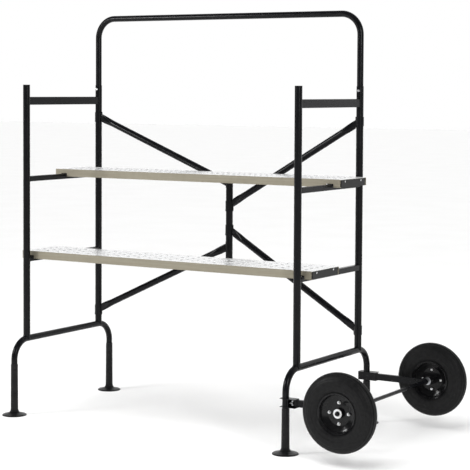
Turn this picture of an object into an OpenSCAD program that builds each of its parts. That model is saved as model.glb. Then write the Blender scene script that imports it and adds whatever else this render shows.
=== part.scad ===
// Baker scaffold: two ladder end frames joined by a folding rear brace, with two decks,
// a plug-in guard rail, push-on feet and a clamp-on transport wheel set.
// Frame: origin on the floor at the centre of the outline, +X towards the wheels,
// +Y towards the guard rail, +Z up. Millimetres.

/* [End frames] */
// Distance between the two end frames, upright axis to upright axis
span = 1755; // [1300:5:2200]
// Distance between the front and rear uprights of one frame
depth = 680; // [560:5:900]
// Height of the upright tops above the floor
upright_top = 1856; // [1800:2:2200]
// Outside diameter of the uprights
upright_d = 39; // [32:1:42]
// Wall of every round tube
tube_wall = 2; // [1.5:0.1:2.5]
// Height of the centre of the leg tube's level run
leg_run_z = 420; // [380:5:520]
// Outside diameter of the bent leg tube
leg_d = 35; // [30:1:38]
// How far the legs stand out from the uprights, and the radius of the bends
leg_out = 110; // [80:5:150]
// Height of the centre of the top rung
top_rung_z = 1765; // [1725:5:1800]
// Depth of the top rung's section
top_rung_h = 45; // [30:1:60]
// Width of the top rung's section
top_rung_w = 20; // [16:1:30]
// Height and width of the square rungs that carry the decks
rung_s = 30; // [25:1:34]
// Height of the upper deck rung's top face
upper_rung_top = 1340; // [1250:1:1400]
// Height of the lower deck rung's top face
lower_rung_top = 887; // [800:1:950]

/* [Feet] */
// Diameter of a foot plate
foot_d = 136; // [100:2:170]
// Height of the sleeves on the left legs
foot_sleeve_h = 287; // [200:1:300]
// Gap between the shorter sleeves on the wheel side and the brackets above them
bracket_clear = 8.5; // [2:0.5:60]
// Thickness of the floor inside a foot
foot_floor = 8; // [5:0.5:12]

/* [Folding brace] */
// Distance from the left frame to the centre post's axis
post_x = 926; // [600:1:1150]
// Outside diameter of the centre post
post_d = 40; // [34:1:42]
// Heights of the post's lower and upper ends
post_z = [850, 1352]; // [700:1:1500]
// Outside diameter of the brace arms
arm_d = 37; // [24:1:40]
// Height of a hinge sleeve
sleeve_h = 50; // [40:1:60]
// Wall of a hinge sleeve
sleeve_wall = 2.6; // [2:0.1:4]
// Heights of the upper left arm's centre at the upright and at the post
upper_left_z = [1670, 1299]; // [400:1:1800]
// Heights of the lower left arm's centre at the upright and at the post
lower_left_z = [509, 941]; // [400:1:1800]
// Heights of the upper right arm's centre at the upright and at the post
upper_right_z = [1665, 1175]; // [400:1:1800]
// Heights of the lower right arm's centre at the upright and at the post
lower_right_z = [528, 1037]; // [400:1:1800]

/* [Decks] */
// Width of a deck
deck_w = 300; // [260:5:310]
// Height of a deck's side rails
deck_h = 43; // [36:1:55]
// How far a deck reaches past the axis of its rungs
deck_over = 60; // [45:1:80]
// Depth of the notch that drops over the rung
deck_drop = 16; // [12:1:20]
// Gap between the lower deck and the front uprights
deck_side_gap = 18; // [12:1:30]
// Sheet thickness of rails and tread
deck_sheet = 2; // [1.5:0.1:3]

/* [Guard rail] */
// Height of the centre of the rail's top bar
rail_z = 2250; // [2100:5:2500]
// Outside diameter of the rail tube
rail_d = 35; // [32:0.5:38]
// Radius of the rail's bends, on the tube's axis
rail_bend = 115; // [80:5:200]
// Length of the spigot inside the upright
spigot_l = 30; // [28:1:40]
// Play of the spigot in the upright, on the radius
spigot_play = 2; // [1.8:0.1:2.5]
// Distance of the clamp screws below the upright tops
clamp_below = 24; // [20:1:26]

/* [Wheel set] */
// Distance from the right frame to the axle
axle_out = 354; // [300:1:450]
// Height of the axle
axle_z = 263; // [230:1:264]
// Diameter of the axle
axle_d = 20; // [18:1:28]
// Length of the spacer tubes between the wheel arms and the hubs
spacer_l = 21.2; // [10:0.2:80]
// Outside diameter of a tyre
tyre_d = 400; // [360:2:400]
// Width of a tyre
tyre_w = 95; // [80:1:100]
// Diameter of the tyre's bead seat on the rim
bead_d = 190; // [180:1:210]
// Height of the clamp brackets
bracket_h = 45; // [40:1:50]
// Height of the wheel arms' section
wheel_arm_h = 35; // [28:1:36]
// Width of the wheel arms' section
wheel_arm_w = 20; // [16:1:24]
// Circle of the four rim bolts
bolt_circle = 105; // [96:1:112]

/* [Hidden] */

$fn = 48;

// Colours of the finishes
black_paint = [0.07, 0.07, 0.08];
alloy_side = [0.63, 0.61, 0.55];
alloy_top = [0.85, 0.86, 0.87];
rubber = [0.10, 0.10, 0.10];
zinc = [0.80, 0.81, 0.82];

// Clearances: welded or seated pieces, running fits, pieces that only lie side by side
weld_gap = 0.1;
run_gap = 0.05;
seat_gap = 0.2;

// Open tops of the uprights, reamed to size for a plugged-in rail
socket_l = 60;
socket_ream = 0.6;

// Places of the frames in the shared frame
x_left = (foot_d / 2 - span - axle_out - tyre_d / 2) / 2;
x_right = x_left + span;
x_post = x_left + post_x;
x_axle = x_right + axle_out;
y_front = -depth / 2;
y_rear = depth / 2;
y_leg_front = y_front - leg_out;
y_leg_rear = y_rear + leg_out;

// Stop collars below the hinge sleeves
collar_h = 8;
collar_wall = 3.5;

// Flattened ends of the brace arms
flat_l = 46;
flat_t = 9;
flat_h = 48;
neck_l = 60;

// Deck hardware
hook_t = 3;
notch_play = 5.5;
hook_inner = 44;
ledge_w = 14;
member_w = 30;
member_h = 22;
rivet_d = 5;
inner_members = 3;
deck_l = span + 2 * deck_over;
x_deck = (x_left + x_right) / 2;
y_lower_deck = y_front + upright_d / 2 + deck_side_gap + deck_w / 2;
y_upper_deck = y_rear - upright_d / 2 - deck_side_gap - deck_w / 2;

// Clamp brackets, wing screws and rail clamp screws. The brackets reach back past the legs by
// bracket_in at the front and rear leg, and out by bracket_out.
bracket_in = [22, 42];
bracket_out = 66;
bracket_t = 3;
flange_y = 44;
lug_x = 20;
lug_t = 5;
screw_d = 8;
wing_r = 15.5;
wing_t = 4;
wing_x = 31;
arm_start = 50;
arm_taper = 105;
arm_nose = 15.5;

// Wheel build, measured outwards from the middle of the tyre
hub_out = 20;
hub_in = 66;
hub_d = 52;
bearing_d = 42;
bearing_w = 15;
hub_flange_d = 128;
hub_flange_t = 4;
rim_flat_r = hub_flange_d / 2 - 2;
rim_t = 2.5;
washer_d = 46;
washer_t = 3;
circlip_w = 1.6;
axle_end = 7;
hub_bore_r = bearing_d / 2 + run_gap;
valve_r = 3.8;
valve_turn = 62;

module round_tube(od, wall, length) {
    linear_extrude(length)
        difference() {
            circle(d = od);
            circle(d = od - 2 * wall);
        }
}

module ring(outer_r, inner_r, height) {
    linear_extrude(height)
        difference() {
            circle(r = outer_r);
            circle(r = inner_r);
        }
}

// A quarter bend of tube in the XZ plane, from the +X direction up to +Z
module quarter_bend(radius, od, wall) {
    rotate([90, 0, 0])
        rotate_extrude(angle = 90)
            translate([radius, 0])
                difference() {
                    circle(d = od);
                    circle(d = od - 2 * wall);
                }
}

// ---- End frames ----

// Upright, coped over the leg tube's level run, reamed at the top and, where asked, drilled for
// the rail's screw
module upright(x, y, drilled) {
    color(black_paint)
        difference() {
            translate([x, y, leg_run_z])
                round_tube(upright_d, tube_wall, upright_top - leg_run_z);
            translate([x, y - upright_d, leg_run_z])
                rotate([-90, 0, 0])
                    cylinder(d = leg_d + 2 * weld_gap, h = 2 * upright_d);
            translate([x, y, upright_top - socket_l])
                cylinder(r = upright_d / 2 - tube_wall + socket_ream, h = socket_l + 1);
            if (drilled)
                translate([x, y, upright_top - clamp_below])
                    rotate([90, 0, 0])
                        cylinder(d = screw_d + 2 * weld_gap, h = upright_d);
        }
}

// One bent tube: a level run below the uprights and a leg at each end
module leg_tube(x) {
    color(black_paint)
        translate([x, 0, 0]) {
            translate([0, y_front, leg_run_z])
                rotate([-90, 0, 0])
                    round_tube(leg_d, tube_wall, depth);
            for (side = [-1, 1]) {
                translate([0, side * depth / 2, leg_run_z - leg_out])
                    rotate([0, 0, side * 90])
                        quarter_bend(leg_out, leg_d, tube_wall);
                translate([0, side * (depth / 2 + leg_out), foot_floor + seat_gap])
                    round_tube(leg_d, tube_wall, leg_run_z - leg_out - foot_floor - seat_gap);
            }
        }
}

// Rectangular rung between two uprights, coped at both ends
module rung(x, z_mid, width, height) {
    color(black_paint)
        difference() {
            translate([x - width / 2, y_front, z_mid - height / 2])
                cube([width, depth, height]);
            translate([x - width / 2 + tube_wall, y_front - 1, z_mid - height / 2 + tube_wall])
                cube([width - 2 * tube_wall, depth + 2, height - 2 * tube_wall]);
            for (y = [y_front, y_rear])
                translate([x, y, z_mid - height])
                    cylinder(d = upright_d + 2 * weld_gap, h = 2 * height);
        }
}

module top_rung(x) rung(x, top_rung_z, top_rung_w, top_rung_h);

module deck_rungs(x) {
    for (top = [upper_rung_top, lower_rung_top])
        rung(x, top - rung_s / 2, rung_s, rung_s);
}

// ---- Folding brace ----

module hinge_sleeve(x, z_mid, inner_d) {
    translate([x, y_rear, z_mid - sleeve_h / 2])
        ring(inner_d / 2 + run_gap + sleeve_wall, inner_d / 2 + run_gap, sleeve_h);
}

module stop_collar(x, z_mid, inner_d) {
    translate([x, y_rear, z_mid - sleeve_h / 2 - collar_h - seat_gap])
        ring(inner_d / 2 + collar_wall, inner_d / 2 + weld_gap / 2, collar_h);
}

// Flattened arm end: a plate in the brace's plane, and a neck that swells into the round tube
module flat_end(length, slope) {
    overlap = 0.6;
    rotate([0, -slope, 0])
        rotate([0, 90, 0])
            hull() {
                translate([0, 0, length - 1])
                    cylinder(d = arm_d + overlap, h = 2, $fn = 32);
                translate([(overlap - arm_d) / 2, (overlap - flat_t) / 2, length - neck_l - flat_t / 2])
                    cube([arm_d - overlap, flat_t - overlap, 1]);
            }
    translate([0, -flat_t / 2, -flat_h / 2])
        cube([flat_l, flat_t, flat_h]);
}

// Arm from one vertical axis to another. hub_a and hub_b are the diameters it is coped to.
module brace_arm(xa, za, xb, zb, hub_a, hub_b) {
    run = xb - xa;
    rise = zb - za;
    slope = atan(rise / run);
    reach = sqrt(run * run + rise * rise);
    end_l = flat_l + neck_l;
    color(black_paint)
        translate([xa, y_rear, za])
            difference() {
                union() {
                    rotate([0, 90 - slope, 0])
                        translate([0, 0, end_l])
                            round_tube(arm_d, tube_wall, reach - 2 * end_l);
                    flat_end(end_l, slope);
                    translate([run, 0, rise])
                        rotate([0, 0, 180])
                            flat_end(end_l, -slope);
                }
                translate([0, 0, -flat_h])
                    cylinder(d = hub_a + 2 * weld_gap, h = 2 * flat_h);
                translate([run, 0, rise - flat_h])
                    cylinder(d = hub_b + 2 * weld_gap, h = 2 * flat_h);
            }
}

sleeve_on_upright = upright_d + 2 * (run_gap + sleeve_wall);
sleeve_on_post = post_d + 2 * (run_gap + sleeve_wall);

module left_hinge_collars() {
    color(black_paint)
        for (z = [upper_left_z[0], lower_left_z[0]])
            stop_collar(x_left, z, upright_d);
}

module centre_post() {
    color(black_paint)
        translate([x_post, y_rear, post_z[0]])
            round_tube(post_d, tube_wall, post_z[1] - post_z[0]);
}

module upper_left_arm()
    brace_arm(x_left, upper_left_z[0], x_post, upper_left_z[1], sleeve_on_upright, post_d);

module lower_left_arm()
    brace_arm(x_left, lower_left_z[0], x_post, lower_left_z[1], sleeve_on_upright, post_d);

module upper_right_arm()
    brace_arm(x_post, upper_right_z[1], x_right, upper_right_z[0], sleeve_on_post, sleeve_on_upright);

module lower_right_arm()
    brace_arm(x_post, lower_right_z[1], x_right, lower_right_z[0], sleeve_on_post, sleeve_on_upright);

module left_wing_sleeves() {
    color(black_paint)
        for (z = [upper_left_z[0], lower_left_z[0]])
            hinge_sleeve(x_left, z, upright_d);
}

module right_wing_sleeves() {
    color(black_paint) {
        for (z = [upper_right_z[0], lower_right_z[0]])
            hinge_sleeve(x_right, z, upright_d);
        for (z = [upper_right_z[1], lower_right_z[1]])
            hinge_sleeve(x_post, z, post_d);
    }
}

module post_collars() {
    color(black_paint)
        for (z = [upper_right_z[1], lower_right_z[1]])
            stop_collar(x_post, z, post_d);
}

module post_cap() {
    cap_t = 3;
    plug_l = 14;
    cylinder(d = post_d, h = cap_t);
    translate([0, 0, -plug_l])
        cylinder(d = post_d - 2 * tube_wall - 2 * weld_gap, h = plug_l);
}

module post_caps() {
    color(rubber) {
        translate([x_post, y_rear, post_z[1]])
            post_cap();
        translate([x_post, y_rear, post_z[0]])
            mirror([0, 0, 1])
                post_cap();
    }
}

// ---- Decks ----
// Each deck is drawn with its middle at x = y = 0 and its rails' lower edge at z = 0.

module at_deck(y, rung_top)
    translate([x_deck, y, rung_top - deck_drop])
        children();

// Side rail: a web, a ledge for the tread and a lower lip, notched over both rungs
module deck_rail(side) {
    notch_half = rung_s / 2 + notch_play;
    color(alloy_side)
        difference() {
            translate([-deck_l / 2, 0, 0])
                union() {
                    translate([0, side < 0 ? -deck_w / 2 : deck_w / 2 - deck_sheet, 0])
                        cube([deck_l, deck_sheet, deck_h]);
                    for (z = [0, deck_h - 2 * deck_sheet])
                        translate([0, side < 0 ? -deck_w / 2 : deck_w / 2 - ledge_w, z])
                            cube([deck_l, ledge_w, deck_sheet]);
                }
            for (x = [-span / 2, span / 2])
                translate([x - notch_half, -deck_w, -1])
                    cube([2 * notch_half, 2 * deck_w, 1 + deck_drop + seat_gap + hook_t]);
        }
}

module deck_tread() {
    width = deck_w - 2 * deck_sheet - 2 * weld_gap;
    color(alloy_top)
        translate([-deck_l / 2, -width / 2, deck_h - deck_sheet])
            cube([deck_l, width, deck_sheet]);
}

// Steel end: a plate across the deck's end, a saddle strip over the rung and a lip behind it
module deck_hook() {
    width = deck_w - 2 * deck_sheet - 2 * weld_gap;
    strip_z = deck_drop + seat_gap;
    lip_x = span / 2 - rung_s / 2 - notch_play;
    plate_h = deck_h - 2 * deck_sheet - weld_gap;
    color(black_paint)
        difference() {
            union() {
                translate([deck_l / 2 - hook_t, -deck_w / 2 + ledge_w + weld_gap, 0])
                    cube([hook_t, deck_w - 2 * (ledge_w + weld_gap), plate_h]);
                translate([lip_x - hook_t, -deck_w / 2 + ledge_w + weld_gap, strip_z])
                    cube([deck_l / 2 - lip_x + hook_t, deck_w - 2 * (ledge_w + weld_gap), hook_t]);
                translate([lip_x - hook_t, -deck_w / 2 + ledge_w + weld_gap, deck_sheet + weld_gap])
                    cube([hook_t, deck_w - 2 * (ledge_w + weld_gap), strip_z]);
            }
            rivet_places()
                rotate([0, 90, 0])
                    cylinder(d = rivet_d + 2 * weld_gap, h = 3 * hook_t, center = true);
        }
}

module rivet_places() {
    for (y = [-0.3, 0.3])
        translate([deck_l / 2, y * deck_w, (deck_h + deck_drop + hook_t) / 2])
            children();
}

module both_ends() {
    children();
    mirror([1, 0, 0])
        children();
}

module deck_hooks() both_ends() deck_hook();

// Box tubes across the deck: one behind each end plate and the rest spread between
module cross_members() {
    length = deck_w - 2 * (ledge_w + weld_gap);
    low = deck_drop + seat_gap + hook_t + weld_gap;
    height = deck_h - deck_sheet - weld_gap - low;
    end_x = deck_l / 2 - hook_t - weld_gap - member_w / 2;
    color(alloy_side)
        difference() {
            for (i = [0 : inner_members + 1])
                translate([-end_x + 2 * end_x * i / (inner_members + 1), 0, low])
                    rotate([-90, 0, 0])
                        linear_extrude(length, center = true)
                            difference() {
                                translate([-member_w / 2, -height])
                                    square([member_w, height]);
                                translate([-member_w / 2 + deck_sheet, -height + deck_sheet])
                                    square([member_w - 2 * deck_sheet, height - 2 * deck_sheet]);
                            }
            both_ends()
                rivet_places()
                    rotate([0, 90, 0])
                        cylinder(d = rivet_d + 2 * weld_gap, h = 4 * hook_t, center = true);
        }
}

module deck_rivets() {
    shank_l = hook_t + deck_sheet + 2;
    color(zinc)
        both_ends()
            rivet_places()
                rotate([0, 90, 0]) {
                    cylinder(d1 = 2.2 * rivet_d, d2 = rivet_d, h = rivet_d / 3);
                    translate([0, 0, -shank_l])
                        cylinder(d = rivet_d, h = shank_l);
                }
}

// ---- Guard rail ----

module guard_rail() {
    bar = span - 2 * rail_bend;
    leg_low = upright_top + seat_gap;
    leg_high = rail_z - rail_bend;
    spigot_r = upright_d / 2 - tube_wall - spigot_play;
    swage_l = 4;
    color(black_paint)
        translate([0, y_rear, 0]) {
            translate([x_left + rail_bend, 0, rail_z])
                rotate([0, 90, 0])
                    round_tube(rail_d, tube_wall, bar);
            translate([x_left + rail_bend, 0, leg_high])
                rotate([0, 0, 180])
                    quarter_bend(rail_bend, rail_d, tube_wall);
            translate([x_right - rail_bend, 0, leg_high])
                quarter_bend(rail_bend, rail_d, tube_wall);
            for (x = [x_left, x_right])
                translate([x, 0, leg_low]) {
                    translate([0, 0, swage_l])
                        round_tube(rail_d, tube_wall, leg_high - leg_low - swage_l);
                    ring(rail_d / 2, spigot_r - tube_wall, swage_l);
                    translate([0, 0, -spigot_l])
                        ring(spigot_r, spigot_r - tube_wall, spigot_l);
                }
        }
}

// Clamp screw in the upright's front face. Its tip meets the spigot.
module rail_screw(x) {
    tip_y = upright_d / 2 - tube_wall - spigot_play + run_gap;
    head_y = upright_d / 2 + seat_gap;
    head_d = 15;
    head_t = 5;
    color(zinc)
        translate([x, y_rear, upright_top - clamp_below])
            rotate([90, 0, 0]) {
                translate([0, 0, tip_y])
                    cylinder(d = screw_d, h = head_y - tip_y);
                translate([0, 0, head_y])
                    difference() {
                        cylinder(d1 = head_d, d2 = 0.8 * head_d, h = head_t);
                        translate([0, 0, head_t - 2.5])
                            cylinder(d = screw_d * 0.7, h = 3, $fn = 6);
                    }
            }
}

// ---- Transport wheel set ----
// side is -1 at the front and +1 at the rear. Brackets and arms lie on the legs' inner sides.

module at_leg(side)
    translate([x_right, side * (depth / 2 + leg_out), axle_z])
        mirror([0, side > 0 ? 1 : 0, 0])
            children();

// Channel round the leg: inner web, two flanges with a hole for the leg and a lug for the screw
module bracket(side) {
    web_y = leg_d / 2 + weld_gap;
    back = bracket_in[side < 0 ? 0 : 1];
    color(black_paint)
        at_leg(side)
            difference() {
                union() {
                    translate([-back, web_y, -bracket_h / 2])
                        cube([back + bracket_out, bracket_t, bracket_h]);
                    for (z = [-bracket_h / 2, bracket_h / 2 - bracket_t])
                        translate([-back, web_y + bracket_t - flange_y, z])
                            cube([back + bracket_out, flange_y, bracket_t]);
                    translate([lug_x, web_y + bracket_t - flange_y, -bracket_h / 2])
                        cube([lug_t, flange_y, bracket_h]);
                }
                translate([0, 0, -bracket_h])
                    cylinder(d = leg_d + 4 * weld_gap, h = 2 * bracket_h);
                translate([leg_d / 2, 0, 0])
                    rotate([0, 90, 0])
                        cylinder(d = screw_d + 2 * weld_gap, h = bracket_out);
            }
}

// Wing screw, pointing at the leg's axis
module wing_screw(side) {
    tip_x = leg_d / 2 + run_gap;
    color(zinc)
        at_leg(side)
            rotate([0, 90, 0]) {
                translate([0, 0, tip_x])
                    cylinder(d = screw_d, h = wing_x + 2 - tip_x);
                translate([0, 0, wing_x])
                    cylinder(d1 = 2 * screw_d, d2 = 1.4 * screw_d, h = 9);
                for (turn = [0, 180])
                    rotate([0, 0, turn])
                        translate([0, wing_t / 2, wing_x + 1])
                            rotate([90, 0, 0])
                                linear_extrude(wing_t)
                                    difference() {
                                        translate([wing_r - 6.5, 6])
                                            circle(r = 6.5);
                                        translate([-wing_r, -wing_r])
                                            square([wing_r + 3, 3 * wing_r]);
                                    }
            }
}

module wheel_arm(side) {
    arm_y = leg_d / 2 - wheel_arm_w;
    half_h = wheel_arm_h / 2;
    taper_x = axle_out - arm_taper;
    color(black_paint)
        at_leg(side)
            translate([0, arm_y + wheel_arm_w, 0])
                rotate([90, 0, 0])
                    difference() {
                        linear_extrude(wheel_arm_w) {
                            polygon([
                                [arm_start, -half_h],
                                [taper_x, -half_h],
                                [axle_out, -arm_nose],
                                [axle_out, arm_nose],
                                [taper_x, half_h],
                                [arm_start, half_h]
                            ]);
                            translate([axle_out, 0])
                                circle(r = arm_nose);
                        }
                        translate([arm_start - 1, -half_h + tube_wall, tube_wall])
                            cube([taper_x - arm_start, wheel_arm_h - 2 * tube_wall,
                                wheel_arm_w - 2 * tube_wall]);
                        translate([axle_out, 0, -1])
                            cylinder(d = axle_d + 2 * run_gap, h = wheel_arm_w + 2);
                    }
}

// Outer face of the wheel arms, and from it the distance between the middles of the two tyres
arm_face = depth / 2 + leg_out - leg_d / 2 + wheel_arm_w;
track = 2 * (arm_face + weld_gap + spacer_l + seat_gap + hub_in);

// Height of the sleeves on the wheel side
short_sleeve_h = axle_z - bracket_h / 2 - bracket_clear;

// Stations along the axle, measured outwards from the middle of a tyre
washer_w = hub_out + seat_gap;
circlip_at = washer_w + washer_t + weld_gap;
axle_half = track / 2 + circlip_at + circlip_w + axle_end;

module at_wheel(side)
    translate([x_axle, side * track / 2, axle_z])
        rotate([-90 * side, 0, 0])
            children();

module axle() {
    color(black_paint)
        difference() {
            translate([x_axle, -axle_half, axle_z])
                rotate([-90, 0, 0])
                    cylinder(d = axle_d, h = 2 * axle_half);
            for (side = [-1, 1])
                at_wheel(side)
                    translate([0, 0, circlip_at - run_gap])
                        ring(axle_d, axle_d / 2 - 1, circlip_w + 2 * run_gap);
        }
}

// Washers outside the hubs and spacer tubes between the hubs and the arms
module axle_washers() {
    color(zinc)
        for (side = [-1, 1])
            at_wheel(side) {
                translate([0, 0, washer_w])
                    ring(washer_d / 2, axle_d / 2 + 1, washer_t);
                translate([0, 0, -hub_in - seat_gap - spacer_l])
                    ring(axle_d / 2 + 5, axle_d / 2 + weld_gap, spacer_l);
            }
}

module axle_circlips() {
    color(rubber)
        for (side = [-1, 1])
            at_wheel(side)
                translate([0, 0, circlip_at])
                    ring(axle_d / 2 + 2.5, axle_d / 2 - 1 + run_gap, circlip_w);
}

// ---- Wheels ----

// Arc of a tyre's section: round over the crown and fuller towards the bead
function tyre_arc(half_w, half_h, mid_r, from, to) = [
    for (i = [0 : 40])
        let (t = from + (to - from) * i / 40, power = sin(t) < 0 ? 0.83 : 1)
            [mid_r + half_h * sign(sin(t)) * pow(abs(sin(t)), power),
             half_w * sign(cos(t)) * pow(abs(cos(t)), power)]
];

// Pneumatic tyre: a carcass of even wall, two bead feet and three grooves round the crown
module tyre(side) {
    bead_r = bead_d / 2 + seat_gap;
    mid_r = (tyre_d / 2 + bead_r) / 2 - 2;
    half_h = tyre_d / 2 - mid_r;
    groove = 4;
    foot_w = 13;
    color(rubber)
        at_wheel(side)
            rotate_extrude($fn = 96)
                difference() {
                    polygon(concat(
                        [[bead_r, 2 * foot_w]],
                        tyre_arc(tyre_w / 2, half_h, mid_r, -58, 238),
                        [[bead_r, -2 * foot_w], [bead_r, -foot_w], [bead_r + 7, -foot_w]],
                        tyre_arc(tyre_w / 2 - 7, half_h - 9, mid_r, 236, -56),
                        [[bead_r + 7, foot_w], [bead_r, foot_w]]
                    ));
                    for (w = [-18, 0, 18])
                        translate([mid_r + half_h * sqrt(1 - pow(2 * w / tyre_w, 2)) - groove, w - groove / 2])
                            square([3 * groove, groove]);
                }
}

// One pressed rim half from the hub out to the flange, as the line on its tyre side: a flat
// on the hub's flange, a dish out to the bead seat, and a rolled edge
function rim_line() =
    let (flat_r = rim_flat_r, seat_r = bead_d / 2, dish = seat_r - flat_r)
        [
            [hub_d / 2 + seat_gap, hub_flange_t / 2],
            [flat_r, hub_flange_t / 2],
            [flat_r + 0.28 * dish, 5],
            [flat_r + 0.66 * dish, 9.5],
            [flat_r + 0.91 * dish, 13],
            [seat_r, 17.5],
            [seat_r, 31],
            [seat_r + 2.5, 35],
            [seat_r + 9, 37]
        ];

function unit(v) = v / norm(v);
function left_of(v) = [-v[1], v[0]];

// The same line moved by the sheet's thickness, each point along the mean of its two normals
function moved(line, t) = [
    for (i = [0 : len(line) - 1])
        let (
            before = line[max(i, 1)] - line[max(i, 1) - 1],
            after = line[min(i, len(line) - 2) + 1] - line[min(i, len(line) - 2)],
            way = unit(left_of(unit(before) + unit(after)))
        )
            line[i] + way * t / (way * left_of(unit(after)))
];

module rim_half() {
    line = rim_line();
    back = moved(line, rim_t);
    rotate_extrude($fn = 96)
        polygon(concat(line, [for (i = [len(back) - 1 : -1 : 0]) back[i]]));
}

module bolt_places()
    for (turn = [0 : 90 : 270])
        rotate([0, 0, turn])
            translate([bolt_circle / 2, 0, 0])
                children();

// The valve leaves the outer rim half beside the hub and leans in towards the axle
module valve_line()
    rotate([0, 0, valve_turn])
        translate([rim_flat_r + 12, 0, 1])
            rotate([0, -50, 0])
                children();

module rim_halves(side) {
    color(black_paint)
        at_wheel(side) {
            difference() {
                rim_half();
                bolt_places()
                    cylinder(d = screw_d + 2 * weld_gap, h = hub_out);
                valve_line()
                    cylinder(r = valve_r + weld_gap, h = 18);
            }
            mirror([0, 0, 1])
                difference() {
                    rim_half();
                    bolt_places()
                        cylinder(d = screw_d + 2 * weld_gap, h = hub_out);
                }
        }
}

module hub(side) {
    pocket = bearing_w + 1;
    color(black_paint)
        at_wheel(side)
            difference() {
                union() {
                    translate([0, 0, -hub_in])
                        cylinder(d = hub_d, h = hub_in + hub_out);
                    translate([0, 0, -hub_flange_t / 2])
                        cylinder(d = hub_flange_d, h = hub_flange_t);
                }
                translate([0, 0, -hub_in - 1])
                    cylinder(r = hub_bore_r - 2, h = hub_in + hub_out + 2);
                translate([0, 0, hub_out - pocket])
                    cylinder(r = hub_bore_r, h = pocket + 1);
                translate([0, 0, -hub_in - 1])
                    cylinder(r = hub_bore_r, h = pocket + 1);
                bolt_places()
                    cylinder(d = screw_d + 2 * weld_gap, h = hub_flange_t + 2, center = true);
            }
}

module bearings(side) {
    color(zinc)
        at_wheel(side)
            for (w = [-hub_in + 0.5, hub_out - 0.5 - bearing_w])
                translate([0, 0, w])
                    ring(bearing_d / 2, axle_d / 2 + run_gap, bearing_w);
}

// Hexagon bolts from the inner side with nuts outside
module rim_bolts(side) {
    grip = hub_flange_t / 2 + rim_t + weld_gap;
    hex_d = 15;
    color(zinc)
        at_wheel(side)
            bolt_places() {
                translate([0, 0, -grip])
                    cylinder(d = screw_d, h = 2 * grip + 9);
                translate([0, 0, grip])
                    cylinder(d = hex_d, h = 6.5, $fn = 6);
                translate([0, 0, -grip - 5.3])
                    cylinder(d = hex_d, h = 5.3, $fn = 6);
            }
}

module valve(side) {
    color(rubber)
        at_wheel(side)
            valve_line() {
                translate([0, 0, 1])
                    cylinder(r = valve_r, h = 33);
                translate([0, 0, 34])
                    cylinder(r = valve_r - 1, h = 10);
            }
}

// ---- Feet ----

// Sleeve with a domed round plate, open at the top for the leg
module foot(x, y, height) {
    plate_r = foot_d / 2;
    bore_r = leg_d / 2 + run_gap;
    color(rubber)
        translate([x, y, 0])
            rotate_extrude($fn = 72)
                polygon([
                    [0, 0],
                    [plate_r, 0],
                    [plate_r, 3.5],
                    [plate_r - 5, 6.5],
                    [0.68 * plate_r, 10],
                    [0.46 * plate_r, 14.5],
                    [bore_r + 6, 21],
                    [bore_r + 3.8, 34],
                    [bore_r + 2.2, height],
                    [bore_r, height],
                    [bore_r, foot_floor],
                    [0, foot_floor]
                ]);
}

// ---- Every piece ----

upright(x_left, y_front, false);  // left_front_upright
upright(x_left, y_rear, true);  // left_rear_upright
leg_tube(x_left);  // left_leg_tube
top_rung(x_left);  // left_top_rung
deck_rungs(x_left);  // left_deck_rungs
left_hinge_collars();
upright(x_right, y_front, false);  // right_front_upright
upright(x_right, y_rear, true);  // right_rear_upright
leg_tube(x_right);  // right_leg_tube
top_rung(x_right);  // right_top_rung
deck_rungs(x_right);  // right_deck_rungs
centre_post();
upper_left_arm();
lower_left_arm();
left_wing_sleeves();
post_collars();
post_caps();
upper_right_arm();
lower_right_arm();
right_wing_sleeves();
at_deck(y_upper_deck, upper_rung_top) deck_rail(-1);  // upper_deck_front_rail
at_deck(y_upper_deck, upper_rung_top) deck_rail(1);  // upper_deck_rear_rail
at_deck(y_upper_deck, upper_rung_top) deck_tread();  // upper_deck_tread
at_deck(y_upper_deck, upper_rung_top) deck_hooks();  // upper_deck_hooks
at_deck(y_upper_deck, upper_rung_top) cross_members();  // upper_deck_cross_members
at_deck(y_upper_deck, upper_rung_top) deck_rivets();  // upper_deck_rivets
at_deck(y_lower_deck, lower_rung_top) deck_rail(-1);  // lower_deck_front_rail
at_deck(y_lower_deck, lower_rung_top) deck_rail(1);  // lower_deck_rear_rail
at_deck(y_lower_deck, lower_rung_top) deck_tread();  // lower_deck_tread
at_deck(y_lower_deck, lower_rung_top) deck_hooks();  // lower_deck_hooks
at_deck(y_lower_deck, lower_rung_top) cross_members();  // lower_deck_cross_members
at_deck(y_lower_deck, lower_rung_top) deck_rivets();  // lower_deck_rivets
guard_rail();
rail_screw(x_left);  // left_rail_screw
rail_screw(x_right);  // right_rail_screw
axle();
wheel_arm(-1);  // front_wheel_arm
wheel_arm(1);  // rear_wheel_arm
bracket(-1);  // front_bracket
bracket(1);  // rear_bracket
axle_washers();
axle_circlips();
wing_screw(-1);  // front_wing_screw
wing_screw(1);  // rear_wing_screw
tyre(-1);  // front_tyre
rim_halves(-1);  // front_rim_halves
hub(-1);  // front_hub
bearings(-1);  // front_bearings
rim_bolts(-1);  // front_rim_bolts
valve(-1);  // front_valve
tyre(1);  // rear_tyre
rim_halves(1);  // rear_rim_halves
hub(1);  // rear_hub
bearings(1);  // rear_bearings
rim_bolts(1);  // rear_rim_bolts
valve(1);  // rear_valve
foot(x_left, y_leg_front, foot_sleeve_h);  // left_front_foot
foot(x_left, y_leg_rear, foot_sleeve_h);  // left_rear_foot
foot(x_right, y_leg_front, short_sleeve_h);  // right_front_foot
foot(x_right, y_leg_rear, short_sleeve_h);  // right_rear_foot
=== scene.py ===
import math
import bmesh
import bpy
from mathutils import Matrix, Vector


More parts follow.
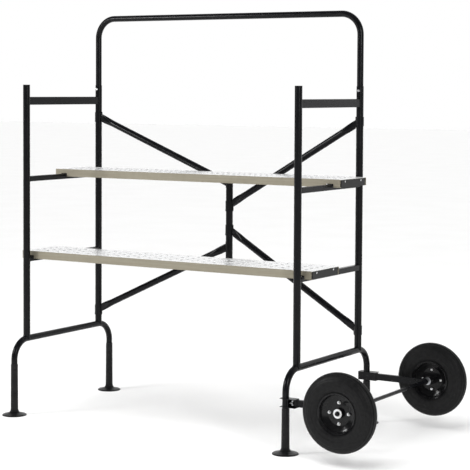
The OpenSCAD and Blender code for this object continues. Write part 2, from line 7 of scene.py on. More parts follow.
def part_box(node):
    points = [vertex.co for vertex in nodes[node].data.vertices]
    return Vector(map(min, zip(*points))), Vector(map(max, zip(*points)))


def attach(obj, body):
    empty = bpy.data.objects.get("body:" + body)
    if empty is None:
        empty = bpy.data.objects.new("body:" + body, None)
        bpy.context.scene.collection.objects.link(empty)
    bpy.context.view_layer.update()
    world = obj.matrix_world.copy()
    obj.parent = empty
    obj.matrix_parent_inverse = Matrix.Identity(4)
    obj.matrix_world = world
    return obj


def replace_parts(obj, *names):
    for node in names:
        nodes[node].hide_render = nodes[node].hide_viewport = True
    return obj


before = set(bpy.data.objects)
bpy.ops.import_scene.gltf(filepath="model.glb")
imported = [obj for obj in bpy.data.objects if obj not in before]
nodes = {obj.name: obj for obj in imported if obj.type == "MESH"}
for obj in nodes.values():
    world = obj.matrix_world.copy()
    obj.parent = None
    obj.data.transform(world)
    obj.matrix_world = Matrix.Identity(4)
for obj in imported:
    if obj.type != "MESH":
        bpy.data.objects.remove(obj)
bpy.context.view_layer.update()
mm = 0.001

# ---- Camera ----
# A long lens, standing off the front corner of the wheel end at a person's eye height.
# It looks a little down and keeps its horizon above the middle of the picture.
camera_place = Vector((4.554, -7.320, 1.838))
turned_left = math.radians(31.6)
tipped_down = math.radians(2.75)
rolled = math.radians(0.3)
lens_data = bpy.data.cameras.new("camera")
lens_data.sensor_width = 36.0
lens_data.lens = 121.2
lens_data.shift_y = -0.149
lens_data.clip_end = 200.0
camera = bpy.data.objects.new("camera", lens_data)
bpy.context.scene.collection.objects.link(camera)
camera.matrix_world = (
    Matrix.Translation(camera_place)
    @ Matrix.Rotation(turned_left, 4, "Z")
    @ Matrix.Rotation(math.pi / 2 - tipped_down, 4, "X")
    @ Matrix.Rotation(rolled, 4, "Z")
)
bpy.context.scene.camera = camera


# ---- Floor and studio light ----
# A plain pale floor under a large soft sky panel, with two soft boxes that draw the narrow
# highlights on the black tubes. The room is bright behind the scaffold and dimmer in front.
def add_mesh(name, points, faces):
    """A new mesh object in the frame's own coordinates, with its faces turned outwards."""
    mesh = bpy.data.meshes.new(name)
    mesh.from_pydata([tuple(p) for p in points], [], faces)
    work = bmesh.new()
    work.from_mesh(mesh)
    bmesh.ops.remove_doubles(work, verts=work.verts, dist=0.002 * mm)
    bmesh.ops.recalc_face_normals(work, faces=work.faces)
    work.to_mesh(mesh)
    work.free()
    piece = bpy.data.objects.new(name, mesh)
    bpy.context.scene.collection.objects.link(piece)
    return piece


def add_node(tree, kind, **inputs):
    """A shader node with some of its inputs set: a number or colour sets one, a socket links it."""
    node = tree.nodes.new(kind)
    for label, value in inputs.items():
        socket = node.inputs[label.replace("_", " ")]
        if isinstance(value, bpy.types.NodeSocket):
            tree.links.new(value, socket)
        else:
            socket.default_value = value
    return node


def new_finish(name, colour, roughness, metallic=0.0, **more):
    """A material and its shader. Further sockets are given by their labels."""
    material = bpy.data.materials.new(name)
    material.use_nodes = True
    shader = material.node_tree.nodes["Principled BSDF"]
    shader.inputs["Base Color"].default_value = (*colour, 1.0)
    shader.inputs["Roughness"].default_value = roughness
    shader.inputs["Metallic"].default_value = metallic
    for label, value in more.items():
        shader.inputs[label.replace("_", " ")].default_value = value
    return material, material.node_tree, shader


def speckle(tree, scale, stretch=(1.0, 1.0, 1.0), detail=3.0, low=0.35, high=0.65):
    """Noise fixed to the piece, spread to run from 0 to 1. Scale is in grains per metre."""
    place = add_node(tree, "ShaderNodeTexCoord")
    drawn = add_node(tree, "ShaderNodeMapping", Vector=place.outputs["Object"], Scale=stretch)
    grain = add_node(
        tree, "ShaderNodeTexNoise", Vector=drawn.outputs["Vector"], Scale=scale, Detail=detail
    )
    spread = add_node(
        tree, "ShaderNodeMapRange", Value=grain.outputs["Fac"], From_Min=low, From_Max=high
    )
    return spread.outputs["Result"]


def tint(tree, shader, factor, from_colour, to_colour):
    """Base colour that runs between two colours."""
    mixed = tree.nodes.new("ShaderNodeMix")
    mixed.data_type = "RGBA"
    tree.links.new(factor, mixed.inputs["Factor"])
    colour_a, colour_b = [s for s in mixed.inputs if s.type == "RGBA"]
    colour_a.default_value = (*from_colour, 1.0)
    colour_b.default_value = (*to_colour, 1.0)
    out = [s for s in mixed.outputs if s.type == "RGBA"][0]
    tree.links.new(out, shader.inputs["Base Color"])


def rub(tree, shader, factor, smooth, rough):
    """Roughness that runs between two values."""
    spread = add_node(tree, "ShaderNodeMapRange", Value=factor, To_Min=smooth, To_Max=rough)
    tree.links.new(spread.outputs["Result"], shader.inputs["Roughness"])


def dent(tree, shader, height, depth, strength=1.0):
    """Fine relief, with its depth in metres."""
    relief = add_node(tree, "ShaderNodeBump", Height=height, Distance=depth, Strength=strength)
    tree.links.new(relief.outputs["Normal"], shader.inputs["Normal"])


floor_half = 60.0
floor = add_mesh(
    "floor",
    [(-floor_half, -floor_half, 0), (floor_half, -floor_half, 0),
     (floor_half, floor_half, 0), (-floor_half, floor_half, 0)],
    [(0, 1, 2, 3)],
)
pale, pale_tree, pale_shader = new_finish("pale_floor", (0.94, 0.94, 0.937), 0.8)
tint(pale_tree, pale_shader, speckle(pale_tree, 1.5), (0.93, 0.93, 0.927), (0.95, 0.95, 0.948))
floor.data.materials.append(pale)

bpy.context.scene.view_settings.view_transform = "Standard"
room = bpy.data.worlds.new("studio")
bpy.context.scene.world = room
room.use_nodes = True
air = room.node_tree
air.nodes.clear()
facing = add_node(air, "ShaderNodeTexCoord")
compass = add_node(air, "ShaderNodeSeparateXYZ", Vector=facing.outputs["Generated"])
brightness = add_node(
    air, "ShaderNodeMapRange", Value=compass.outputs["Y"],
    From_Min=0.0, From_Max=0.8, To_Min=0.07, To_Max=1.2,
)
lit = add_node(air, "ShaderNodeBackground", Strength=brightness.outputs["Result"])
seen = add_node(air, "ShaderNodeBackground", Color=(1, 1, 1, 1), Strength=1.0)
ray = add_node(air, "ShaderNodeLightPath")
both = air.nodes.new("ShaderNodeMixShader")
air.links.new(ray.outputs["Is Camera Ray"], both.inputs[0])
air.links.new(lit.outputs[0], both.inputs[1])
air.links.new(seen.outputs[0], both.inputs[2])
out = air.nodes.new("ShaderNodeOutputWorld")
air.links.new(both.outputs[0], out.inputs["Surface"])


def soft_box(name, place, target, width, height, watts):
    """A rectangular lamp that shines at the target and isn't seen itself."""
    data = bpy.data.lights.new(name, "AREA")
    data.shape = "RECTANGLE"
    data.size, data.size_y, data.energy = width, height, watts
    lamp = bpy.data.objects.new(name, data)
    lamp.location = place
    lamp.rotation_mode = "QUATERNION"
    lamp.rotation_quaternion = (Vector(target) - Vector(place)).to_track_quat("-Z", "Y")
    lamp.visible_camera = False
    bpy.context.scene.collection.objects.link(lamp)


soft_box("left_box", (-4.5, -5.0, 3.6), (0, 0, 1.0), 1.2, 2.4, 180)
soft_box("right_box", (5.0, -3.0, 3.2), (0.3, 0, 0.9), 0.8, 2.4, 120)
# The panel lights the scaffold from above but doesn't show in its reflections
sky_data = bpy.data.lights.new("sky_panel", "SUN")
sky_data.energy = 2.6
sky_data.angle = math.radians(60)
sky = bpy.data.objects.new("sky_panel", sky_data)
sky.rotation_euler = (math.radians(18), math.radians(-12), 0)
sky.visible_glossy = False
bpy.context.scene.collection.objects.link(sky)


# ---- Uprights and leg tubes ----
# Each end frame stands on one bent steel tube, with two round uprights coped onto its level
# run and welded all round. The finished frame is powder coated satin black.
coat, coat_tree, coat_shader = new_finish(
    "black_powder_coat", (0.0045, 0.0047, 0.0056), 0.25, Specular_IOR_Level=0.15
)
tint(coat_tree, coat_shader, speckle(coat_tree, 9.0), (0.0035, 0.0037, 0.0045), (0.0058, 0.006, 0.0072))
rub(coat_tree, coat_shader, speckle(coat_tree, 28.0, detail=5.0), 0.18, 0.28)
dent(coat_tree, coat_shader, speckle(coat_tree, 420.0, detail=2.0), 0.12 * mm, 0.2)


def dress(material, *names):
    """Gives CAD nodes their finish."""
    for name in names:
        slots = nodes[name].data.materials
        if not slots:
            slots.append(material)
        for i in range(len(slots)):
            slots[i] = material


class Stock:
    """Points and faces that gather into one piece."""

    def __init__(self):
        self.points = []
        self.faces = []

    def skin(self, rings, looped=False, capped=True):
        """Skins over rings of points. Its ends are closed, joined where looped, or open if not capped."""
        first, width = len(self.points), len(rings[0])
        for ring in rings:
            self.points.extend(ring)
        for i in range(len(rings) if looped else len(rings) - 1):
            here = first + i * width
            there = first + (i + 1) % len(rings) * width
            for j in range(width):
                k = (j + 1) % width
                self.faces.append([here + j, here + k, there + k, there + j])
        if capped and not looped:
            self.faces.append([first + j for j in range(width)])
            self.faces.append([here + width + j for j in range(width)])

    def piece(self, name, material, body, slot, crease=35):
        """Makes the mesh, gives it its finish and mounts it on its body."""
        made = add_mesh(name, self.points, self.faces)
        made.data.shade_smooth()
        made.data.set_sharp_from_angle(angle=math.radians(crease))
        made.data.materials.append(material)
        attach(made, body)
        return made


bead_reach = 2.6 * mm
bead_scale = 5.0 * mm
bead_step = 1.4 * mm


def bead(stock, path):
    """A rippled weld bead along a closed path of points, each with the way out from the joint."""
    places = [place for place, _ in path]
    steps = [(places[i] - places[i - 1]).length for i in range(len(places))]
    ripples = round(sum(steps) / bead_scale)
    rings, gone = [], 0.0
    for i, (place, way_out) in enumerate(path):
        gone += steps[i]
        along = (places[(i + 1) % len(places)] - places[i - 1]).normalized()
        side = (way_out - along * way_out.dot(along)).normalized()
        over = along.cross(side)
        swell = bead_reach * (0.86 + 0.2 * abs(math.sin(math.pi * ripples * gone / sum(steps))))
        rings.append([
            place + swell * (side * math.cos(turn) + over * math.sin(turn))
            for turn in (math.pi / 4 * k for k in range(8))
        ])
    stock.skin(rings, looped=True)


def middle(name):
    """The middle of a CAD node's box, and half its size."""
    low, high = (Vector(corner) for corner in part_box(name))
    return (low + high) / 2, (high - low) / 2


def saddle(place, tube_r, run_r):
    """Where an upright's end meets the leg tube below it."""
    path = []
    for i in range(96):
        turn = 2 * math.pi * i / 96
        way_out = Vector((math.cos(turn), math.sin(turn), 0))
        rise = math.sqrt(max(run_r ** 2 - (tube_r * way_out.x) ** 2, 0))
        path.append((place + way_out * tube_r + Vector((0, 0, rise)), way_out))
    return path


upright_r = middle("left_front_upright")[1].x
leg_r = middle("left_leg_tube")[1].x
run_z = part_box("left_leg_tube")[1][2] - leg_r
frame_welds = {"left": Stock(), "right": Stock()}
for end, welds in frame_welds.items():
    dress(coat, f"{end}_front_upright", f"{end}_rear_upright", f"{end}_leg_tube")
    for side in ("front", "rear"):
        axis = middle(f"{end}_{side}_upright")[0]
        bead(welds, saddle(Vector((axis.x, axis.y, run_z)), upright_r, leg_r))


# ---- Rungs ----
# Rectangular tube with rolled corners: a deep flat rung near the top of each frame and two
# square ones that the decks hang on. The ends are coped to the uprights and welded.
def rounded(width, height, corner, step):
    """The outline of a bar with rounded corners, with its points no further apart than step."""
    outline = []
    for quarter, (across, up) in enumerate(((1, 1), (-1, 1), (-1, -1), (1, -1))):
        for i in range(6):
            turn = math.radians(90 * quarter + 18 * i)
            outline.append(Vector((
                across * (width / 2 - corner) + corner * math.cos(turn),
                up * (height / 2 - corner) + corner * math.sin(turn),
            )))
    filled = []
    for here, there in zip(outline, outline[1:] + outline[:1]):
        parts = max(1, math.ceil((there - here).length / step))
        filled += [here.lerp(there, i / parts) for i in range(parts)]
    return filled


rung_corner = 3.5 * mm


def add_rung(rungs, welds, x, z, width, height, front_y, rear_y):
    """One rung between two uprights, and the bead round each end."""
    outline = rounded(width, height, rung_corner, bead_step)
    sunk = 1.0 * mm
    ends = []
    for y, inward in ((front_y, 1), (rear_y, -1)):
        cope = [inward * math.sqrt(upright_r ** 2 - p.x ** 2) for p in outline]
        ends.append([Vector((x + p.x, y + c - inward * sunk, z + p.y)) for p, c in zip(outline, cope)])
        bead(welds, [
            (Vector((x + p.x, y + c, z + p.y)), Vector((p.x / width, 0, p.y / height)).normalized())
            for p, c in zip(outline, cope)
        ])
    rungs.skin(ends)


front_y = middle("left_front_upright")[0].y
rear_y = middle("left_rear_upright")[0].y
for end, welds in frame_welds.items():
    rungs = Stock()
    place, half = middle(f"{end}_top_rung")
    add_rung(rungs, welds, place.x, place.z, 2 * half.x, 2 * half.z, front_y, rear_y)
    place, half = middle(f"{end}_deck_rungs")
    for z in (place.z + half.z - half.x, place.z - half.z + half.x):
        add_rung(rungs, welds, place.x, z, 2 * half.x, 2 * half.x, front_y, rear_y)
    made = rungs.piece(f"{end}_rungs", coat, f"{end}_frame", "frame_black")
    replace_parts(made, f"{end}_top_rung", f"{end}_deck_rungs")
    welds.piece(f"{end}_frame_welds", coat, f"{end}_frame", "frame_black", crease=70)


# ---- Feet ----
# A tapered steel sleeve pushed over each leg, welded into a domed round plate and painted.
foot_paint, foot_tree, foot_shader = new_finish(
    "foot_paint", (0.007, 0.007, 0.0075), 0.35, Specular_IOR_Level=0.18
)
tint(foot_tree, foot_shader, speckle(foot_tree, 30.0), (0.0055, 0.0055, 0.006), (0.010, 0.010, 0.0105))
rub(foot_tree, foot_shader, speckle(foot_tree, 45.0), 0.26, 0.4)
sleeve_foot_r = leg_r + 6.4 * mm
sleeve_foot_z = 21.0 * mm
for foot in ("left_front", "left_rear", "right_front", "right_rear"):
    dress(foot_paint, f"{foot}_foot")
    place, _ = middle(f"{foot}_foot")
    ring = Stock()
    circle = [Vector((math.cos(math.pi * i / 48), math.sin(math.pi * i / 48), 0)) for i in range(96)]
    centre = Vector((place.x, place.y, sleeve_foot_z))
    bead(ring, [(centre + way * sleeve_foot_r, way) for way in circle])
    ring.piece(f"{foot}_foot_weld", foot_paint, f"{foot}_foot_piece", "foot_black", crease=70)


# ---- Folding brace ----
# Four round arms with flattened ends on sleeves that turn on the rear uprights and the centre
# post. The left pair is welded to the post, which has a plastic cap at each end.
plate_t = 9.0 * mm
plate_h = 48.0 * mm
plate_corner = 1.5 * mm
arm_r = 18.5 * mm
hub_sink = 1.5 * mm
bead_lift = 0.5 * mm
flat_l = 30.0 * mm
press_l = 120.0 * mm
trim_x = 24.5 * mm


def plate_end(hub_x, hub_r, toward, z):
    """Where an arm's flattened end meets a round hub."""
    path = []
    for p in rounded(plate_t, plate_h, plate_corner, bead_step):
        out_x = math.sqrt((hub_r + bead_lift) ** 2 - p.x ** 2)
        place = Vector((hub_x + toward * out_x, rear_y + p.x, z + p.y))
        path.append((place, Vector((0, p.x / plate_t, p.y / plate_h)).normalized()))
    return path


def add_arm(name, wing, starts, ends):
    """A round tube with each end pressed flat and trimmed to its hub: its x, radius and z."""
    arm = Stock()
    upright = Vector((0, 0, 1))
    begin, finish = (Vector((x, rear_y, z)) for x, _, z in (starts, ends))
    along = (finish - begin).normalized()
    square = Vector((-along.z, 0, along.x))
    rings = []
    for hub, centre, way in ((starts, begin, along), (ends, finish, -along)):
        hub_x, hub_r, hub_z = hub
        first = (hub_r - hub_sink) / abs(along.x)
        half = []
        for i in range(15):
            reach = first + (press_l - first) * i / 14
            ease = min(max((reach - flat_l) / (press_l - flat_l), 0), 1)
            ease = ease * ease * (3 - 2 * ease)
            tall = plate_h / 2 + (arm_r - plate_h / 2) * ease
            thick = plate_t / 2 + (arm_r - plate_t / 2) * ease
            lean = upright.lerp(square, ease).normalized()
            power = 0.45 + 0.55 * ease
            ring = []
            for k in range(36):
                c, v = math.cos(math.pi * k / 18), math.sin(math.pi * k / 18)
                place = centre + way * reach + lean * tall * math.copysign(abs(v) ** power, v)
                place.y += thick * math.copysign(abs(c) ** power, c)
                if abs(place.x - hub_x) < trim_x:
                    place.z = min(max(place.z, hub_z - plate_h / 2), hub_z + plate_h / 2)
                ring.append(place)
            half.append(ring)
        rings.append(half)
    arm.skin(rings[0] + rings[1][::-1])
    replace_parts(arm.piece(f"{name}_tube", coat, wing, "frame_black", crease=50), name)


left_x = middle("left_rear_upright")[0].x
right_x = middle("right_rear_upright")[0].x
post_place, post_half = middle("centre_post")
sleeve_r = middle("left_wing_sleeves")[1].x
post_sleeve_r = sleeve_r + post_half.x - upright_r
arms = {
    "upper_left_arm": ("left_wing", True, sleeve_r, post_half.x),
    "lower_left_arm": ("left_wing", False, sleeve_r, post_half.x),
    "upper_right_arm": ("right_wing", False, post_sleeve_r, sleeve_r),
    "lower_right_arm": ("right_wing", True, post_sleeve_r, sleeve_r),
}
wing_welds = {"left_wing": Stock(), "right_wing": Stock()}
for name, (wing, falls, left_hub, right_hub) in arms.items():
    low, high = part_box(name)
    ends_z = (low[2] + plate_h / 2, high[2] - plate_h / 2)
    left_z, right_z = ends_z[::-1] if falls else ends_z
    hubs_x = (left_x, post_place.x) if wing == "left_wing" else (post_place.x, right_x)
    bead(wing_welds[wing], plate_end(hubs_x[0], left_hub, 1, left_z))
    bead(wing_welds[wing], plate_end(hubs_x[1], right_hub, -1, right_z))
    add_arm(name, wing, (hubs_x[0], left_hub, left_z), (hubs_x[1], right_hub, right_z))
for wing, welds in wing_welds.items():
    welds.piece(f"{wing}_welds", coat, wing, "frame_black", crease=70)
dress(coat, "left_hinge_collars", "left_wing_sleeves", "right_wing_sleeves", "post_collars")
dress(coat, "centre_post")
plug, plug_tree, plug_shader = new_finish(
    "black_plastic", (0.008, 0.008, 0.0085), 0.5, Specular_IOR_Level=0.3
)
tint(plug_tree, plug_shader, speckle(plug_tree, 80.0), (0.006, 0.006, 0.0065), (0.011, 0.011, 0.0115))
dress(plug, "post_caps")


# ---- Decks ----
# Two alike: folded aluminium side rails, a bright tread sheet punched with rows of raised
# holes for grip, box cross members under it and riveted steel end plates that hook on a rung.
side_alloy, side_tree, side_shader = new_finish("deck_side_alloy", (0.27, 0.245, 0.185), 0.5, 0.3)
tint(
    side_tree, side_shader, speckle(side_tree, 1.0, (3, 260, 260)),
    (0.255, 0.23, 0.172), (0.295, 0.27, 0.208),
)
rub(side_tree, side_shader, speckle(side_tree, 30.0), 0.42, 0.6)
tread_alloy, tread_tree, tread_shader = new_finish("tread_alloy", (0.86, 0.865, 0.87), 0.3, 0.5)
tint(
    tread_tree, tread_shader, speckle(tread_tree, 1.0, (4, 180, 180)),
    (0.84, 0.845, 0.85), (0.92, 0.925, 0.93),
)
rub(tread_tree, tread_shader, speckle(tread_tree, 14.0), 0.2, 0.34)
hook_paint, hook_tree, hook_shader = new_finish(
    "hook_paint", (0.007, 0.007, 0.0075), 0.35, Specular_IOR_Level=0.18
)
tint(hook_tree, hook_shader, speckle(hook_tree, 40.0), (0.0055, 0.0055, 0.006), (0.010, 0.010, 0.0105))
zinc, zinc_tree, zinc_shader = new_finish("bright_zinc", (0.72, 0.73, 0.75), 0.3, 1.0)
tint(zinc_tree, zinc_shader, speckle(zinc_tree, 120.0), (0.66, 0.66, 0.64), (0.78, 0.79, 0.82))
rub(zinc_tree, zinc_shader, speckle(zinc_tree, 200.0), 0.2, 0.4)


def add_tread(name, body):
    """The tread sheet, drawn as a grid of cells with a raised hole in each and plain edges."""
    place, half = middle(name)
    pitch_x, pitch_y = 70.0 * mm, 57.0 * mm
    count_x, count_y = int(2 * half.x / pitch_x), int(2 * half.y / pitch_y)
    count_y -= count_y % 2
    sheet = Stock()
    # Radius and height of the pressed rim, from the flat sheet inwards
    rim = ((11.0, 0.0), (9.8, 0.4), (8.8, 1.9), (8.0, 2.7), (7.0, 2.8), (6.3, 2.2))
    top, under = place.z + half.z, place.z - half.z
    edge = []
    for i in range(6):
        edge.append(Vector((pitch_x * (0.5 - i / 6), pitch_y / 2)))
    for i in range(6):
        edge.append(Vector((-pitch_x / 2, pitch_y * (0.5 - i / 6))))
    edge += [-p for p in edge]
    for column in range(count_x):
        for row in range(count_y):
            middle_xy = Vector((
                place.x + pitch_x * (column - (count_x - 1) / 2),
                place.y + pitch_y * (row - (count_y - 1) / 2),
            ))
            rings = [[Vector((*(middle_xy + p), top)) for p in edge]]
            for radius, height in rim:
                rings.append([
                    Vector((*(middle_xy + p.normalized() * radius * mm), top + height * mm)) for p in edge
                ])
            rings.append([Vector((*(middle_xy + p.normalized() * rim[-1][0] * mm), under)) for p in edge])
            rings.append([Vector((*(middle_xy + p), under)) for p in edge])
            sheet.skin(rings, capped=False)
    field_x, field_y = count_x * pitch_x / 2, count_y * pitch_y / 2
    outer = [Vector((sx * half.x, sy * half.y)) for sx, sy in ((1, 1), (-1, 1), (-1, -1), (1, -1))]
    inner = [Vector((sx * field_x, sy * field_y)) for sx, sy in ((1, 1), (-1, 1), (-1, -1), (1, -1))]
    sheet.skin([
        [Vector((place.x + p.x, place.y + p.y, z)) for p in ring]
        for ring, z in ((inner, top), (outer, top), (outer, under), (inner, under))
    ], capped=False)
    made = sheet.piece(f"{name}_sheet", tread_alloy, body, "deck_top")
    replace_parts(made, name)


for deck in ("upper_deck", "lower_deck"):
    dress(side_alloy, f"{deck}_front_rail", f"{deck}_rear_rail", f"{deck}_cross_members")
    dress(tread_alloy, f"{deck}_tread")
    dress(hook_paint, f"{deck}_hooks")
    dress(zinc, f"{deck}_rivets")
    add_tread(f"{deck}_tread", deck)


# ---- Guard rail ----
# One bent steel tube in the frames' black, plugged into the rear uprights. A zinc-plated
# socket screw in each upright holds it.
dress(coat, "guard_rail")
dress(zinc, "left_rail_screw", "right_rail_screw")


# ---- Axle set ----
# Two channel brackets hold the legs, with a tapered arm welded in each and a long axle
# through the arms. Powder coated as the frames are, with zinc-plated washers and wing screws.
def sweep_round(centre, axis, spin, stations):
    """Rings round an axis, from pairs of a distance along it and a radius or a function of the turn."""
    rings = []
    side = axis.orthogonal().normalized()
    over = axis.cross(side)
    for along, reach in stations:
        ring = []
        for i in range(spin):
            turn = 2 * math.pi * i / spin
            radius = reach(turn) if callable(reach) else reach
            ring.append(centre + axis * along + radius * (side * math.cos(turn) + over * math.sin(turn)))
        rings.append(ring)
    return rings


def thread(length, radius, pitch=1.25 * mm, depth=0.55 * mm):
    """Stations of a screw thread, from its chamfered tip."""
    def at(along):
        def reach(turn):
            phase = (along / pitch - turn / (2 * math.pi)) % 1.0
            return radius - 2 * depth * min(phase, 1 - phase)
        return reach
    count = math.ceil(length / (pitch / 4))
    return [(0.0, 0.7 * radius)] + [
        (length * (i + 1) / count, at(length * (i + 1) / count)) for i in range(count)
    ]


def add_wing_screw(name, body):
    """A cast wing screw: threaded shank, tapered collar and two rounded wings."""
    place, half = middle(name)
    tip = Vector((place.x - half.x, place.y, place.z))
    outward = Vector((1, 0, 0))
    screw = Stock()
    cast_l = 11.5 * mm
    collar_at = 2 * half.x - cast_l
    screw.skin(sweep_round(tip, outward, 24, thread(collar_at, 4.0 * mm)))
    screw.skin(sweep_round(tip, outward, 32, [
        (collar_at - 1.0 * mm, 6.4 * mm), (collar_at, 7.6 * mm), (collar_at + 1.2 * mm, 8.0 * mm),
        (collar_at + 8.0 * mm, 5.8 * mm), (collar_at + 9.3 * mm, 4.6 * mm), (collar_at + 9.8 * mm, 2.0 * mm),
    ]))
    for up in (1, -1):
        rings = []
        for i in range(13):
            rise = i / 12
            reach = half.z * (0.3 + 0.7 * rise)
            long = 5.6 * mm * math.sqrt(max(1 - (1.8 * rise - 0.82) ** 6, 0.02))
            thick = (2.3 - 0.5 * rise) * mm * math.sqrt(max(1 - rise ** 8, 0.05))
            centre = tip + Vector((collar_at + 4.2 * mm + 2.6 * mm * rise, 0, up * reach))
            rings.append([
                centre + Vector((long * math.cos(t), thick * math.sin(t), 0))
                for t in (math.pi / 10 * k for k in range(20))
            ])
        screw.skin(rings)
    made = screw.piece(f"{name}_cast", zinc, body, "zinc", crease=50)
    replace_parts(made, name)


axle_place, axle_half = middle("axle")
axle_r = axle_half.x
axle_welds = Stock()
for side, toward in (("front", 1), ("rear", -1)):
    dress(coat, f"{side}_bracket", f"{side}_wheel_arm")
    add_wing_screw(f"{side}_wing_screw", f"{side}_clamp")
    arm_place, arm_half = middle(f"{side}_wheel_arm")
    bracket_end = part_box(f"{side}_bracket")[1][0]
    path = [
        (Vector((bracket_end, arm_place.y + p.x, arm_place.z + p.y)),
         Vector((0, p.x / arm_half.y, p.y / arm_half.z)).normalized())
        for p in rounded(2 * arm_half.y, 2 * arm_half.z, plate_corner, bead_step)
    ]
    bead(axle_welds, path)
    for face in (-1, 1):
        centre = Vector((axle_place.x, arm_place.y + face * arm_half.y, axle_place.z))
        way = [Vector((math.cos(math.pi * i / 36), 0, math.sin(math.pi * i / 36))) for i in range(72)]
        bead(axle_welds, [(centre + w * axle_r, w) for w in way])
axle_welds.piece("axle_set_welds", coat, "right_frame", "frame_black", crease=70)
dress(coat, "axle")
dress(zinc, "axle_washers")
dress(plug, "axle_circlips")


# ---- Wheels ----
# Pneumatic barrow wheels: a ribbed rubber tyre on two pressed rim halves in gloss black
# enamel, bolted together through the hub's flange, which turns on two steel bearings.
rubber, rubber_tree, rubber_shader = new_finish(
    "tyre_rubber", (0.008, 0.008, 0.0083), 0.45, Specular_IOR_Level=0.15
)
tint(
    rubber_tree, rubber_shader, speckle(rubber_tree, 60.0),
    (0.0065, 0.0065, 0.0068), (0.0105, 0.0105, 0.0108),
)
rub(rubber_tree, rubber_shader, speckle(rubber_tree, 90.0), 0.38, 0.52)
dent(rubber_tree, rubber_shader, speckle(rubber_tree, 900.0, detail=2.0), 0.1 * mm, 0.2)
enamel, enamel_tree, enamel_shader = new_finish(
    "rim_enamel", (0.005, 0.005, 0.0055), 0.15, Specular_IOR_Level=0.22
)
tint(
    enamel_tree, enamel_shader, speckle(enamel_tree, 20.0),
    (0.0045, 0.0045, 0.005), (0.009, 0.009, 0.0095),
)
steel, steel_tree, steel_shader = new_finish("bearing_steel", (0.5, 0.51, 0.53), 0.28, 1.0)
tint(steel_tree, steel_shader, speckle(steel_tree, 150.0), (0.46, 0.47, 0.49), (0.55, 0.56, 0.58))


def tyre_outline(outer_r, half_w, bead_r):
    """Half the tyre's outline, from mid crown to bead, as pairs of radius and distance out."""
    middle_r = (outer_r + bead_r) / 2 - 2 * mm
    bulge = outer_r - middle_r

    def crown(w):
        return middle_r + bulge * math.sqrt(1 - (w / half_w) ** 2)

    groove = 4.5 * mm
    shoulder_w = 41.8
    ribs = []
    # Distance out in millimetres, and the share of a full groove's depth there
    tread_marks = (
        (0, 1), (1.8, 1), (2.4, 0), (8.0, 0), (14.6, 0), (15.2, 1), (18.8, 1), (19.4, 0),
        (25.0, 0), (29.0, 0), (29.6, 0.7), (31.4, 0.7), (32.0, 0), (34.6, 0), (35.2, 0.55),
        (36.8, 0.55), (37.4, 0), (39.6, 0), (40.1, 0.4), (41.3, 0.4), (shoulder_w, 0),
    )
    for w, sunk in tread_marks:
        ribs.append((crown(w * mm) - sunk * groove, w * mm))
    start = math.acos(shoulder_w * mm / half_w)
    finish = math.radians(-57)
    wall = []
    for i in range(1, 45):
        turn = start + (finish - start) * i / 44
        ridge = 0.9 * mm if i in (5, 6, 17, 18, 30, 31) else 0.0
        power = 1.0 if turn > 0 else 0.83
        low = min(max((-turn - 0.1) / 0.88, 0), 1)
        lip = 3.2 * mm * math.sin(math.pi * low) ** 2
        wall.append((
            middle_r + bulge * math.copysign(abs(math.sin(turn)) ** power, turn),
            half_w * math.cos(turn) ** power + ridge + lip - 0.9 * mm,
        ))
    return ribs + wall + [(bead_r + 0.6 * mm, 26 * mm), (bead_r + 0.6 * mm, 0)]


def add_tyre(name, body):
    """The tyre, turned round the axle line."""
    place, half = middle(name)
    rim_bead_r = 95.2 * mm
    outline = tyre_outline(half.z, half.y, rim_bead_r)
    section = outline + [(r, -w) for r, w in reversed(outline[1:-1])]
    tyre = Stock()
    rings = []
    for i in range(144):
        turn = 2 * math.pi * i / 144
        rings.append([
            place + Vector((r * math.cos(turn), w, r * math.sin(turn))) for r, w in section
        ])
    tyre.skin(rings, looped=True)
    made = tyre.piece(f"{name}_rubber", rubber, body, "tyre", crease=30)
    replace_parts(made, name)


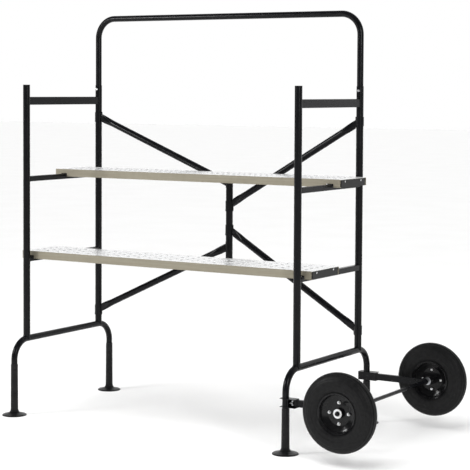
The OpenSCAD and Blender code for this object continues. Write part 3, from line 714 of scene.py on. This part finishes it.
def hexagon(across_flats, limit):
    """Radius of a hexagon at a turn, cut off by its chamfer."""
    def reach(turn):
        lean = (turn + math.pi / 6) % (math.pi / 3) - math.pi / 6
        return min(across_flats / 2 / math.cos(lean), limit)
    return reach


def add_rim_bolts(name, body, toward):
    """Four bolts through the rim halves, with a washer and nut on the outer face."""
    place, half = middle(name)
    bolts = Stock()
    circle_r = 52.5 * mm
    flats, corner_r = 13.0 * mm, 7.1 * mm
    outward = Vector((0, toward, 0))
    face = place.y + toward * (half.y - 9.0 * mm)
    wheel_axis = middle(body.replace("_wheel", "_hub"))[0]
    full = hexagon(flats, 1.0)
    cut = hexagon(flats, corner_r - 0.5 * mm)
    for quarter in range(4):
        turn = math.pi / 2 * quarter
        spoke = Vector((circle_r * math.cos(turn), 0, circle_r * math.sin(turn)))
        at = Vector((wheel_axis.x, face, wheel_axis.z)) + spoke
        washer = ((0.0, 8.2 * mm), (0.2 * mm, 8.4 * mm), (1.4 * mm, 8.4 * mm), (1.6 * mm, 8.2 * mm))
        bolts.skin(sweep_round(at, outward, 36, washer))
        nut = ((1.6, cut), (2.2, full), (7.4, full), (8.0, cut), (8.0, 5.0 * mm), (7.4, 4.0 * mm))
        bolts.skin(sweep_round(at, outward, 36, [(along * mm, reach) for along, reach in nut]))
        tip = at + outward * 10.5 * mm
        bolts.skin(sweep_round(tip, -outward, 24, thread(4.0 * mm, 3.9 * mm)))
        head_at = Vector((at.x, place.y - toward * half.y, at.z))
        head = ((0.0, 5.2 * mm), (0.4 * mm, cut), (1.0 * mm, full), (5.3 * mm, full))
        bolts.skin(sweep_round(head_at, outward, 36, head))
        shank = ((5.0 * mm, 4.0 * mm), (2 * half.y - 12.0 * mm, 4.0 * mm))
        bolts.skin(sweep_round(head_at, outward, 24, shank))
    made = bolts.piece(f"{name}_set", zinc, body, "zinc", crease=40)
    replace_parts(made, name)


for side, toward in (("front", -1), ("rear", 1)):
    wheel = f"{side}_wheel"
    add_tyre(f"{side}_tyre", wheel)
    add_rim_bolts(f"{side}_rim_bolts", wheel, toward)
    dress(enamel, f"{side}_rim_halves", f"{side}_hub")
    dress(steel, f"{side}_bearings")
    dress(plug, f"{side}_valve")
